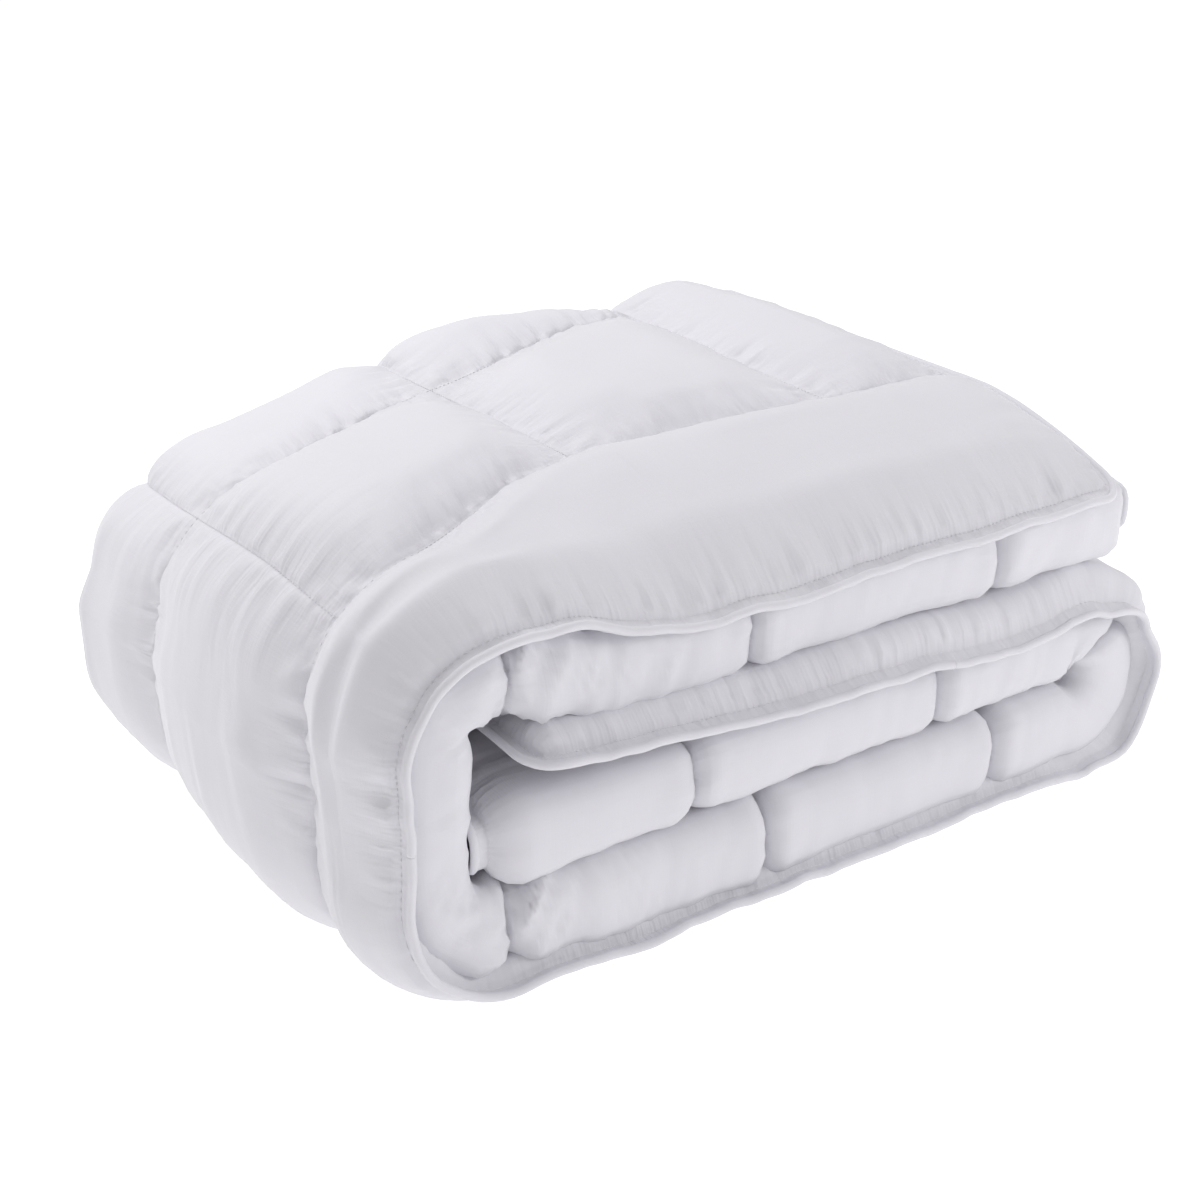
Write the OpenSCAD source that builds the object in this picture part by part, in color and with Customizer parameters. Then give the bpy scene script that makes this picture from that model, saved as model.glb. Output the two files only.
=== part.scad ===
// Quilted duvet, folded in thirds across its width and then wound into a three-level bundle.
// X runs along the front of the bundle, Y runs from the front to the back, Z is up.
// The origin is the middle of the footprint, on the surface that the duvet lies on.

/* [Bundle] */
// Overall length of the folded bundle
bundle_length = 760; // [630:1:912]
// Overall depth of the folded bundle, from piping to back fold
bundle_depth = 573; // [477:1:690]
// Pitch of the layers, one filled ply and its clearance
ply = 37; // [30:0.5:45]
// Distance from the left side to the free end of the top level
top_level_length = 685; // [560:1:820]
// Length of the tucked third, from the front fold to the duvet's long edge
tucked_length = 334.7; // [280:0.1:402]

/* [Quilting] */
// Width of the unquilted border channel along the long edges
side_border = 203; // [150:1:240]
// Width of the border channel at the free end of the top level
top_end_border = 140; // [110:1:170]
// Length of one quilted box on the top level
top_box = 252; // [205:1:303]
// Length of one quilted box on the lower levels
lower_box = 234; // [190:1:280]
// Distance from the left side to the first cross seam of the bottom level
bottom_seam_start = 329; // [270:1:390]
// Distance from the left side to the last cross seam of the middle level
middle_seam_end = 262; // [210:1:300]
// Part of the right-hand turn, in degrees, at which its cross seam lies
turn_seam_angle = 117; // [60:1:130]
// Length over which a pad swells from its seam to its full thickness
swell = 32; // [22:1:45]

/* [Edges] */
// Distance of the topstitching from the middle of the piping
topstitch_inset = 9; // [7:0.5:14]
// Outer radius of the piping
piping_radius = 3.3; // [2.5:0.1:4.5]
// Thickness of the piping's fabric cover
piping_wall = 0.7; // [0.4:0.1:1]
// How far the piped edge stands out in front of the front fold
piping_overhang = 8; // [4:1:20]

/* [Cloth and clearances] */
// Thickness of the face and back cloth
cloth = 0.6; // [0.4:0.1:1]
// Distance between a cloth panel and the pad under it
cloth_clearance = 0.2; // [0.1:0.05:0.4]
// Distance between the piping and the edge of a cloth panel
edge_clearance = 0.5; // [0.3:0.1:1]
// Half of the free space between two layers that lie on each other
layer_clearance = 0.75; // [0.5:0.05:1.5]
// Radius of the sewing thread
thread_radius = 0.4; // [0.25:0.05:0.5]
// Gap between two lines of thread that meet
stitch_gap = 0.6; // [0.4:0.1:1]
// Half thickness of a pad where it is sewn down
seam_half = 0.7; // [0.5:0.05:1]
// Half width of the sewn line between two pads
seam_gap = 1.5; // [1:0.1:2.5]
// Half width of the line along which two bodies fold on each other
fold_gap = 1.9; // [1.8:0.1:3]
// Gap between the end of the middle level and the left wall
tuck_gap = 4; // [2:0.5:10]

/* [Hidden] */

// Radii of the middle ply on the left corners and on the right-hand turn
corner_radius = 1.55 * ply;
turn_radius = 1.5 * ply;
// Centres of the arcs, measured from the left side and from the layer pitch planes
left_x = 1.5 * ply + corner_radius;
right_x = bundle_length - 3 * ply;
low_z = 1.5 * ply + corner_radius;
high_z = 7.5 * ply - corner_radius;
turn_z = 3 * ply;
middle_end_x = 3 * ply + tuck_gap + piping_radius;
// Lengths of the stretches of the middle ply, from the top level's end to the middle level's end
top_run = top_level_length - left_x;
corner_run = PI / 2 * corner_radius;
wall_run = high_z - low_z;
bottom_run = right_x - left_x;
turn_run = PI * turn_radius;
middle_run = right_x - middle_end_x;
corner_1 = top_run;
wall_1 = corner_1 + corner_run;
corner_2 = wall_1 + wall_run;
bottom_1 = corner_2 + corner_run;
turn_1 = bottom_1 + bottom_run;
middle_1 = turn_1 + turn_run;
strip_end = middle_1 + middle_run;
// Fold lines between the bodies, in the middle of the left corners
fold_top = corner_1 + corner_run / 2;
fold_bottom = corner_2 + corner_run / 2;
// Cross seams
seam_c = top_end_border;
seam_b = seam_c + top_box;
seam_e = bottom_1 + bottom_seam_start - left_x;
seam_f = seam_e + lower_box;
seam_g = turn_1 + turn_run * turn_seam_angle / 180;
seam_i = middle_1 + right_x - middle_seam_end;
seam_h = seam_i - lower_box;
// Places across the bundle, measured from the front of the piping
edge_y = piping_radius;
front_y = piping_overhang + ply - layer_clearance;
back_y = bundle_depth - 1.5 * ply + layer_clearance;
// Lengths across the duvet, from the outer long edge to the tucked long edge
outer_run = back_y - edge_y;
back_run = PI * ply;
inner_run = back_y - front_y;
front_run = PI * ply / 2;
back_1 = outer_run;
inner_1 = back_1 + back_run;
front_1 = inner_1 + inner_run;
tucked_1 = front_1 + front_run;
flat_width = tucked_1 + tucked_length;
// Lengthwise seams
box_width = (flat_width - 2 * side_border) / 4;
long_seams = [for (k = [0 : 4]) side_border + k * box_width];
tucked_seam = long_seams[4];
tucked_edge = flat_width - topstitch_inset;
// Half thickness of a full pad
pad_half = ply / 2 - layer_clearance - cloth - cloth_clearance;
// Height that the whole model is lowered by, so that it lies on Z = 0
ground = layer_clearance;
// Distance from one line of stitching to the start of another
cross_stop = thread_radius + stitch_gap;
end_stop = topstitch_inset + cross_stop;
// Ends of the stitching on the wall, and distances from a fold line to its seam and to the pads
wall_low = fold_top + fold_gap;
wall_high = fold_bottom - fold_gap;
fold_seam = fold_gap + cross_stop;
body_edge = fold_seam + seam_gap;
// Least distance between two rings, and how near two rings count as one
ring_distance = 7;
nearby = 1;
// Degrees between two rings on a fold
corner_step = 22.5;
turn_step = 30;
back_step = 45;
tube_sides = 6;
thread_sides = 4;
white = [0.95, 0.95, 0.96];
fill_white = [0.90, 0.90, 0.92];
thread_white = [0.85, 0.85, 0.88];

// Place on the spine, [x, z, outward x, outward z], at a length along the middle ply
function spine(s) =
  s <= corner_1 ? [top_level_length - s, 7.5 * ply, 0, 1] :
  s <= wall_1 ? let (a = 90 + (s - corner_1) / corner_radius * 180 / PI)
    [left_x + corner_radius * cos(a), high_z + corner_radius * sin(a), cos(a), sin(a)] :
  s <= corner_2 ? [1.5 * ply, high_z - (s - wall_1), -1, 0] :
  s <= bottom_1 ? let (a = 180 + (s - corner_2) / corner_radius * 180 / PI)
    [left_x + corner_radius * cos(a), low_z + corner_radius * sin(a), cos(a), sin(a)] :
  s <= turn_1 ? [left_x + (s - bottom_1), 1.5 * ply, 0, -1] :
  s <= middle_1 ? let (a = -90 + (s - turn_1) / turn_radius * 180 / PI)
    [right_x + turn_radius * cos(a), turn_z + turn_radius * sin(a), cos(a), sin(a)] :
  [right_x - (s - middle_1), 4.5 * ply, 0, 1];

// Place across the plies, [y, outward offset, normal y, normal outward], at a length across the duvet
function across(v) =
  v <= back_1 ? [edge_y + v, ply, 0, 1] :
  v <= inner_1 ? let (a = (v - back_1) / ply * 180 / PI)
    [back_y + ply * sin(a), ply * cos(a), sin(a), cos(a)] :
  v <= front_1 ? [back_y - (v - inner_1), -ply, 0, -1] :
  v <= tucked_1 ? let (a = (v - front_1) / (ply / 2) * 180 / PI)
    [front_y - ply / 2 * sin(a), -ply / 2 - ply / 2 * cos(a), -sin(a), -cos(a)] :
  [front_y + (v - tucked_1), 0, 0, 1];

// Point of the folded duvet for a length s along it, a length v across it and a height d over its middle
function place(s, v, d) =
  let (c = spine(s), a = across(v), n = a[1] + d * a[3])
  [c[0] + n * c[2] - bundle_length / 2, a[0] + d * a[2] - bundle_depth / 2, c[1] + n * c[3] - ground];

function sorted(list) = len(list) < 2 ? list :
  let (pivot = list[floor(len(list) / 2)])
  concat(
    sorted([for (x = list) if (x < pivot) x]),
    [pivot],
    sorted([for (x = list) if (x > pivot) x])
  );
function within(list, low, high) = [for (x = list) if (x > low && x < high) x];
// Values of a list that keep a distance from every kept value
function apart(list, kept, distance) =
  [for (x = list) if (min([for (k = kept) abs(x - k)]) > distance) x];

// Rings along the bundle: every seam and its swell first, then the rings of the folds between them
top_edge = topstitch_inset;
middle_edge = strip_end - topstitch_inset;
long_marks = [
  top_edge, seam_c, seam_b, fold_top, fold_bottom, seam_e, seam_f, seam_g, seam_h, seam_i, middle_edge
];
swell_rings = [for (x = long_marks) each [x - swell, x, x + swell]];
fold_rings = concat(
  [for (a = [0 : corner_step : 90]) corner_1 + a / 90 * corner_run],
  [for (a = [0 : corner_step : 90]) corner_2 + a / 90 * corner_run],
  [for (a = [0 : turn_step : 180]) turn_1 + a / 180 * turn_run]
);
s_rings = sorted(concat([0, strip_end], within(swell_rings, top_edge - nearby, middle_edge + nearby),
  apart(fold_rings, swell_rings, ring_distance)));
// Rings across the duvet, in the same way
across_marks = concat([topstitch_inset], long_seams, [tucked_edge]);
across_swells = [for (x = across_marks) each [x - swell, x, x + swell]];
across_folds = concat(
  [for (a = [0 : back_step : 180]) back_1 + a / 180 * back_run],
  [for (a = [0 : back_step : 180]) front_1 + a / 180 * front_run]
);
v_rings = sorted(concat([0, flat_width],
  within(across_swells, topstitch_inset - nearby, tucked_edge + nearby),
  apart(across_folds, across_swells, ring_distance)));

// Swelling between 0 at the nearest of the seams and 1 on the flat of a pad
function rise(x, low, high) = max(0, min(1, (x - low) / swell, (high - x) / swell));
function pad_height(fs, fv) = seam_half + (pad_half - seam_half) * fs * fv;

// A ring is [first, second, share]: a place between two neighbouring rings of the shared lists
function exact_ring(x) = [x, x, 0];
function next_ring(list, x) = min([for (k = list) if (k > x + 0.01) k]);
function last_ring(list, x) = max([for (k = list) if (k < x - 0.01) k]);
function ring_after(list, x, gap) = let (n = next_ring(list, x)) [x, n, gap / (n - x)];
function ring_before(list, x, gap) = let (n = last_ring(list, x)) [x, n, gap / (x - n)];
function mixed(a, b, share) = a + (b - a) * share;
// The rings of a stretch that starts and ends a gap away from its marks
function stretch_rings(list, low, high, gap_low, gap_high) =
  concat([ring_after(list, low, gap_low)], [for (x = within(list, low + 0.01, high - 0.01)) exact_ring(x)],
    [ring_before(list, high, gap_high)]);

// Triangles over a grid of points. Each cell is split along the diagonal with the greater heights,
// so that a pad and the cloth over it are split alike.
function sheet_faces(heights, flip, start) =
  let (columns = len(heights[0]))
  [for (i = [0 : len(heights) - 2], j = [0 : columns - 2])
    let (
      a = start + i * columns + j, b = a + 1, c = a + columns, d = c + 1,
      ridge = heights[i][j] + heights[i + 1][j + 1] > heights[i][j + 1] + heights[i + 1][j] + 0.001,
      one = ridge ? [a, c, d] : [a, c, b],
      two = ridge ? [a, d, b] : [b, c, d]
    )
    for (t = [one, two]) flip ? [t[0], t[2], t[1]] : t];
function rim_faces(rows, columns) =
  let (
    size = rows * columns,
    rim = concat(
      [for (j = [0 : columns - 1]) j],
      [for (i = [1 : rows - 1]) i * columns + columns - 1],
      [for (j = [columns - 2 : -1 : 0]) (rows - 1) * columns + j],
      [for (i = [rows - 2 : -1 : 1]) i * columns]
    ),
    count = len(rim)
  )
  [for (k = [0 : count - 1])
    let (a = rim[k], b = rim[(k + 1) % count])
    for (t = [[a, b, a + size], [b, b + size, a + size]]) t];

// Closed solid between an upper and a lower grid of points
module slab(upper, lower, heights) {
  rows = len(upper);
  columns = len(upper[0]);
  polyhedron(
    points = concat([for (row = upper) each row], [for (row = lower) each row]),
    faces = concat(
      sheet_faces(heights, false, 0),
      sheet_faces(heights, true, rows * columns),
      rim_faces(rows, columns)
    ),
    convexity = 10
  );
}

// Half thickness of a pad at two rings, and its point in space.
// At its own edge a pad is as thin as its seam.
function box_height(s, v, box) = pad_height(rise(s[0], box[0], box[1]), rise(v[0], box[2], box[3]));
function pad_point(s, v, side, box) =
  let (d = side * box_height(s, v, box))
  mixed(
    mixed(place(s[0], v[0], d), place(s[1], v[0], d), s[2]),
    mixed(place(s[0], v[1], d), place(s[1], v[1], d), s[2]),
    v[2]
  );

// One filled pad between two cross seams and two lengthwise seams
module pad(s_low, s_high, v_low, v_high, s_gap_low, s_gap_high) {
  s_list = stretch_rings(s_rings, s_low, s_high, s_gap_low, s_gap_high);
  v_list = stretch_rings(v_rings, v_low, v_high, seam_gap, seam_gap);
  box = [s_low, s_high, v_low, v_high];
  slab(
    [for (s = s_list) [for (v = v_list) pad_point(s, v, 1, box)]],
    [for (s = s_list) [for (v = v_list) pad_point(s, v, -1, box)]],
    [for (s = s_list) [for (v = v_list) box_height(s, v, box)]]
  );
}

// Stretch of the strip, [start, end, cross seams inside], for each fill group
top_stretch = [0, fold_top, [seam_c, seam_b]];
wall_stretch = [fold_top, fold_bottom, []];
bottom_stretch = [fold_bottom, seam_f, [seam_e]];
turn_stretch = [seam_f, seam_h, [seam_g]];
middle_stretch = [seam_h, strip_end, [seam_i]];

function end_gap(s) = s == fold_top || s == fold_bottom ? body_edge : seam_gap;
function edge_start(s) = s == 0 ? topstitch_inset : s == strip_end ? strip_end - topstitch_inset : s;

// The border channel has no cross seams, so it is one long pad on each stretch
module border_fill(stretch, v_low, v_high) {
  color(fill_white)
  pad(
    edge_start(stretch[0]), edge_start(stretch[1]), v_low, v_high,
    end_gap(stretch[0]), end_gap(stretch[1])
  );
}

// A row of boxes between two lengthwise seams
module box_fill(stretch, row) {
  starts = concat(stretch[0] == 0 ? [] : [stretch[0]], stretch[2]);
  ends = concat(stretch[0] == 0 ? [for (k = [1 : 1 : len(stretch[2]) - 1]) stretch[2][k]] : stretch[2],
    stretch[1] == strip_end ? [] : [stretch[1]]);
  color(fill_white)
  for (k = [0 : len(ends) - 1]) {
    pad(starts[k], ends[k], long_seams[row], long_seams[row + 1], end_gap(starts[k]), end_gap(ends[k]));
  }
}

// The border channel across a free end, between the two long borders
module end_fill(s_low, s_high) {
  color(fill_white)
  pad(edge_start(s_low), edge_start(s_high), long_seams[0], long_seams[4], seam_gap, seam_gap);
}

// Stretches of the three bodies, [start, end, cross seams inside]
flap_part = [0, fold_top, [seam_c, seam_b]];
wall_part = [fold_top, fold_bottom, []];
base_part = [fold_bottom, strip_end, [seam_e, seam_f, seam_g, seam_h, seam_i]];
panel_margin = piping_radius + edge_clearance;

function seam_distance(x, seams) = min([for (seam = seams) abs(x - seam)]);
function is_border(v) = v < long_seams[0] || v > long_seams[4];
function is_end(s) = s < seam_c || s > seam_i;

// Height of the pads of a body, which have no cross seams in the border channels
function body_height(part, s, v) =
  let (
    ends = [edge_start(part[0]), edge_start(part[1])],
    cross = is_border(v) ? ends : concat(ends, part[2]),
    end_marks = [across_marks[0], long_seams[0], long_seams[4], across_marks[6]],
    lengthwise = is_end(s) ? end_marks : across_marks,
    inside = s > ends[0] && s < ends[1] && v > across_marks[0] && v < across_marks[6]
  )
  inside ? pad_height(min(1, seam_distance(s, cross) / swell), min(1, seam_distance(v, lengthwise) / swell))
  : seam_half;

function panel_height(part, s, v) =
  mixed(
    mixed(body_height(part, s[0], v[0]), body_height(part, s[1], v[0]), s[2]),
    mixed(body_height(part, s[0], v[1]), body_height(part, s[1], v[1]), s[2]),
    v[2]
  );
function panel_point(part, s, v, side, lift) =
  mixed(
    mixed(place(s[0], v[0], side * (body_height(part, s[0], v[0]) + lift)),
      place(s[1], v[0], side * (body_height(part, s[1], v[0]) + lift)), s[2]),
    mixed(place(s[0], v[1], side * (body_height(part, s[0], v[1]) + lift)),
      place(s[1], v[1], side * (body_height(part, s[1], v[1]) + lift)), s[2]),
    v[2]
  );

function panel_gap(s) = s == 0 || s == strip_end ? panel_margin : fold_gap;

// Thin cloth over one side of the pads of a body: side is 1 for the face and -1 for the back
module panel(part, side) {
  s_list = stretch_rings(s_rings, part[0], part[1], panel_gap(part[0]), panel_gap(part[1]));
  v_list = stretch_rings(v_rings, 0, flat_width, panel_margin, panel_margin);
  far_lift = cloth_clearance + cloth;
  far = [for (s = s_list) [for (v = v_list) panel_point(part, s, v, side, far_lift)]];
  near = [for (s = s_list) [for (v = v_list) panel_point(part, s, v, side, cloth_clearance)]];
  heights = [for (s = s_list) [for (v = v_list) panel_height(part, s, v)]];
  color(white)
  if (side > 0) {
    slab(far, near, heights);
  } else {
    slab(near, far, heights);
  }
}

// Round strand through the points [s, v] of a path on the middle surface of the duvet
function turn_vector(path, i) =
  let (
    last = len(path) - 1,
    before = i == 0 ? path[1] - path[0] : path[i] - path[i - 1],
    after = i == last ? path[last] - path[last - 1] : path[i + 1] - path[i],
    u = before / norm(before),
    w = after / norm(after),
    middle = (u + w) / norm(u + w)
  )
  [middle[1], -middle[0]] / max(0.5, u * middle);
function strand_points(path, radius, sides) = [
  for (i = [0 : len(path) - 1])
    let (m = turn_vector(path, i))
    for (k = [0 : sides - 1])
      let (a = 360 * (k + 0.5) / sides)
      place(path[i][0] + radius * cos(a) * m[0], path[i][1] + radius * cos(a) * m[1], radius * sin(a))
];
function strand_sides(count, sides, flip, start) = [
  for (i = [0 : count - 2], k = [0 : sides - 1])
    let (a = start + i * sides + k, b = start + i * sides + (k + 1) % sides, c = a + sides, d = b + sides)
    for (t = flip ? [[a, c, b], [b, c, d]] : [[a, b, c], [b, d, c]]) t
];

module strand(path, radius, sides) {
  count = len(path);
  last = (count - 1) * sides;
  polyhedron(
    points = strand_points(path, radius, sides),
    faces = concat(
      strand_sides(count, sides, true, 0),
      [for (k = [1 : sides - 2]) [0, k, k + 1]],
      [for (k = [1 : sides - 2]) [last, last + k + 1, last + k]]
    ),
    convexity = 10
  );
}

module hollow_strand(path, radius, bore, sides) {
  count = len(path);
  size = count * sides;
  last = (count - 1) * sides;
  polyhedron(
    points = concat(strand_points(path, radius, sides), strand_points(path, bore, sides)),
    faces = concat(
      strand_sides(count, sides, true, 0),
      strand_sides(count, sides, false, size),
      [for (k = [0 : sides - 1]) let (n = (k + 1) % sides)
        for (t = [[k, n, size + k], [n, size + n, size + k]]) t],
      [for (k = [0 : sides - 1]) let (n = (k + 1) % sides)
        for (t = [[last + k, size + last + k, last + n], [last + n, size + last + k, size + last + n]]) t]
    ),
    convexity = 10
  );
}

function reversed(list) = [for (i = [len(list) - 1 : -1 : 0]) list[i]];
function between(x, low, high) = x > low - nearby && x < high + nearby;
function curved(s) =
  between(s, corner_1, wall_1) || between(s, corner_2, bottom_1) || between(s, turn_1, middle_1);
function folded(v) = between(v, back_1, inner_1) || between(v, front_1, tucked_1);
function bends(list, low, high) = apart(within(list, low, high), [low, high], nearby);
// The rings next to a curved stretch belong to it, so that a strand keeps to the chords of the cloth
function along_rings(low, high) = let (list = bends(s_rings, low, high))
  [for (x = list) if (curved(x) || curved(next_ring(s_rings, x)) || curved(last_ring(s_rings, x))) x];
function over_rings(low, high) = let (list = bends(v_rings, low, high))
  [for (x = list) if (folded(x) || folded(next_ring(v_rings, x)) || folded(last_ring(v_rings, x))) x];
function along(low, high, v, reverse) =
  let (list = concat([low], along_rings(low, high), [high]))
  [for (x = reverse ? reversed(list) : list) [x, v]];
function over(low, high, s, reverse) =
  let (list = concat([low], over_rings(low, high), [high]))
  [for (x = reverse ? reversed(list) : list) [s, x]];
function joined(a, b) = concat(a, [for (i = [1 : len(b) - 1]) b[i]]);

// Path along the edges of a body, set in by a distance from the outline of the duvet
function flap_edge(inset) = joined(
  joined(
    along(inset, fold_top - fold_gap, inset, true),
    over(inset, flat_width - inset, inset, false)
  ),
  along(inset, fold_top - fold_gap, flat_width - inset, false)
);
function base_edge(inset) = joined(
  joined(
    along(fold_bottom + fold_gap, strip_end - inset, inset, false),
    over(inset, flat_width - inset, strip_end - inset, false)
  ),
  along(fold_bottom + fold_gap, strip_end - inset, flat_width - inset, true)
);
function wall_edge(inset, v) = along(wall_low, wall_high, v, false);

module piping_cover(paths) {
  color(white)
  for (path = paths) {
    hollow_strand(path, piping_radius, piping_radius - piping_wall, tube_sides);
  }
}

module piping_cord(paths) {
  color(fill_white)
  for (path = paths) {
    strand(path, piping_radius - piping_wall - cloth_clearance, tube_sides);
  }
}

module stitching(paths) {
  color(thread_white)
  for (path = paths) {
    strand(path, thread_radius, thread_sides);
  }
}

function wall_edges(inset) = [wall_edge(inset, inset), wall_edge(inset, flat_width - inset)];
// The outer two lengthwise lines run on to the ends, the inner three end at the end channels
function long_paths(low, high, inner_low, inner_high) = [
  for (k = [0 : 4])
    let (is_inner = k > 0 && k < 4)
    along(is_inner ? inner_low : low, is_inner ? inner_high : high, long_seams[k], false)
];
// Cross seams run between the border channels and stop short of the lengthwise stitching
function cross_paths(seams) = [
  for (s = seams, k = [0 : 3]) over(long_seams[k] + cross_stop, long_seams[k + 1] - cross_stop, s, false)
];

border_fill(top_stretch, topstitch_inset, side_border);  // fill_top_border
border_fill(wall_stretch, topstitch_inset, side_border);  // fill_wall_border
union() {  // fill_bottom_border
  border_fill(bottom_stretch, topstitch_inset, side_border);
}
border_fill(turn_stretch, topstitch_inset, side_border);  // fill_turn_border
union() {  // fill_middle_border
  border_fill(middle_stretch, topstitch_inset, side_border);
}
box_fill(top_stretch, 0);  // fill_top_outer
box_fill(wall_stretch, 0);  // fill_wall_outer
box_fill(bottom_stretch, 0);  // fill_bottom_outer
box_fill(turn_stretch, 0);  // fill_turn_outer
box_fill(middle_stretch, 0);  // fill_middle_outer
box_fill(top_stretch, 1);  // fill_top_back
box_fill(wall_stretch, 1);  // fill_wall_back
box_fill(bottom_stretch, 1);  // fill_bottom_back
box_fill(turn_stretch, 1);  // fill_turn_back
box_fill(middle_stretch, 1);  // fill_middle_back
box_fill(top_stretch, 2);  // fill_top_inner
box_fill(wall_stretch, 2);  // fill_wall_inner
box_fill(bottom_stretch, 2);  // fill_bottom_inner
box_fill(turn_stretch, 2);  // fill_turn_inner
box_fill(middle_stretch, 2);  // fill_middle_inner
box_fill(top_stretch, 3);  // fill_top_front
box_fill(wall_stretch, 3);  // fill_wall_front
box_fill(bottom_stretch, 3);  // fill_bottom_front
box_fill(turn_stretch, 3);  // fill_turn_front
box_fill(middle_stretch, 3);  // fill_middle_front
border_fill(top_stretch, tucked_seam, tucked_edge);  // fill_top_tucked
border_fill(wall_stretch, tucked_seam, tucked_edge);  // fill_wall_tucked
border_fill(bottom_stretch, tucked_seam, tucked_edge);  // fill_bottom_tucked
border_fill(turn_stretch, tucked_seam, tucked_edge);  // fill_turn_tucked
border_fill(middle_stretch, tucked_seam, tucked_edge);  // fill_middle_tucked
end_fill(0, seam_c);  // fill_top_end
end_fill(seam_i, strip_end);  // fill_middle_end
panel(flap_part, 1);  // face_panel_flap
panel(wall_part, 1);  // face_panel_wall
panel(base_part, 1);  // face_panel_base
panel(flap_part, -1);  // back_panel_flap
panel(wall_part, -1);  // back_panel_wall
panel(base_part, -1);  // back_panel_base
piping_cover([flap_edge(0)]);  // piping_cover_flap
piping_cover(wall_edges(0));  // piping_cover_wall
piping_cover([base_edge(0)]);  // piping_cover_base
piping_cord([flap_edge(0)]);  // piping_cord_flap
piping_cord(wall_edges(0));  // piping_cord_wall
piping_cord([base_edge(0)]);  // piping_cord_base
union() {  // long_stitch_flap
  stitching(long_paths(end_stop, fold_top - fold_gap, seam_c, fold_top - fold_gap));
}
union() {  // long_stitch_wall
  stitching(long_paths(wall_low, wall_high, wall_low, wall_high));
}
union() {  // long_stitch_base
  stitching(long_paths(fold_bottom + fold_gap, strip_end - end_stop, fold_bottom + fold_gap, seam_i));
}
stitching(cross_paths([seam_c, seam_b]));  // cross_stitch_flap
union() {  // cross_stitch_wall
  stitching(cross_paths([fold_top + fold_seam, fold_bottom - fold_seam]));
}
union() {  // cross_stitch_base
  stitching(cross_paths([seam_e, seam_f, seam_g, seam_h, seam_i]));
}
stitching([flap_edge(topstitch_inset)]);  // topstitch_flap
stitching(wall_edges(topstitch_inset));  // topstitch_wall
stitching([base_edge(topstitch_inset)]);  // topstitch_base
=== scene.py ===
"""Quilted white duvet, folded in thirds and wound into a bundle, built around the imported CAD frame."""
import math

import bmesh
import bpy
import numpy as np
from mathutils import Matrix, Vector


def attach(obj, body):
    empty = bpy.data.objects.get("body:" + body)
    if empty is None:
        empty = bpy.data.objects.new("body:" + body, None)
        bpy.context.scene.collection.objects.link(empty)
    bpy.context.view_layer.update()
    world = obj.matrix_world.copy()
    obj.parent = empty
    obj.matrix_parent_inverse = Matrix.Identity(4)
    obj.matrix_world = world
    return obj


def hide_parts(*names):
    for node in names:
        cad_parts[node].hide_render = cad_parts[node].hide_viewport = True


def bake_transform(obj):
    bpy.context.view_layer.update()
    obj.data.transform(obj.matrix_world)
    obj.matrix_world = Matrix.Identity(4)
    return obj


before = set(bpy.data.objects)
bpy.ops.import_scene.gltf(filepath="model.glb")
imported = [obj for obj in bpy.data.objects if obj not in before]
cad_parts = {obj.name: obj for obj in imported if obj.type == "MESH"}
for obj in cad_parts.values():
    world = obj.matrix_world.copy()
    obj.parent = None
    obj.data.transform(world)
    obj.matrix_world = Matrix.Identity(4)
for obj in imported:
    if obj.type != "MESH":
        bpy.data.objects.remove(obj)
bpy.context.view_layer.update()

# Driving sizes in metres, as in the CAD model
PLY = 0.037
TOP_LEVEL_LENGTH = 0.685
TUCKED_LENGTH = 0.3347
SIDE_BORDER = 0.203
TOP_END_BORDER = 0.140
TOP_BOX = 0.252
LOWER_BOX = 0.234
BOTTOM_SEAM_START = 0.329
MIDDLE_SEAM_END = 0.262
TURN_SEAM_ANGLE = 117.0
TOPSTITCH_INSET = 0.009
PIPING_RADIUS = 0.0033
PIPING_OVERHANG = 0.008
LAYER_CLEARANCE = 0.00075
TUCK_GAP = 0.004
BUNDLE_LENGTH = 0.760
BUNDLE_DEPTH = 0.573

CORNER_RADIUS = 1.55 * PLY
TURN_RADIUS = 1.5 * PLY
LEFT_X = 1.5 * PLY + CORNER_RADIUS
RIGHT_X = BUNDLE_LENGTH - 3 * PLY
LOW_Z = 1.5 * PLY + CORNER_RADIUS
HIGH_Z = 7.5 * PLY - CORNER_RADIUS
TURN_Z = 3 * PLY
MIDDLE_END_X = 3 * PLY + TUCK_GAP + PIPING_RADIUS

CORNER_1 = TOP_LEVEL_LENGTH - LEFT_X
WALL_1 = CORNER_1 + math.pi / 2 * CORNER_RADIUS
CORNER_2 = WALL_1 + HIGH_Z - LOW_Z
BOTTOM_1 = CORNER_2 + math.pi / 2 * CORNER_RADIUS
TURN_1 = BOTTOM_1 + RIGHT_X - LEFT_X
MIDDLE_1 = TURN_1 + math.pi * TURN_RADIUS
STRIP_END = MIDDLE_1 + RIGHT_X - MIDDLE_END_X
FOLD_TOP = (CORNER_1 + WALL_1) / 2
FOLD_BOTTOM = (CORNER_2 + BOTTOM_1) / 2
WALL_MIDDLE = (WALL_1 + CORNER_2) / 2

SEAM_C = TOP_END_BORDER
SEAM_B = SEAM_C + TOP_BOX
SEAM_E = BOTTOM_1 + BOTTOM_SEAM_START - LEFT_X
SEAM_F = SEAM_E + LOWER_BOX
SEAM_G = TURN_1 + math.pi * TURN_RADIUS * TURN_SEAM_ANGLE / 180
SEAM_I = MIDDLE_1 + RIGHT_X - MIDDLE_SEAM_END
SEAM_H = SEAM_I - LOWER_BOX
CROSS_SEAMS = [SEAM_C, SEAM_B, FOLD_TOP, FOLD_BOTTOM, SEAM_E, SEAM_F, SEAM_G, SEAM_H, SEAM_I]

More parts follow.
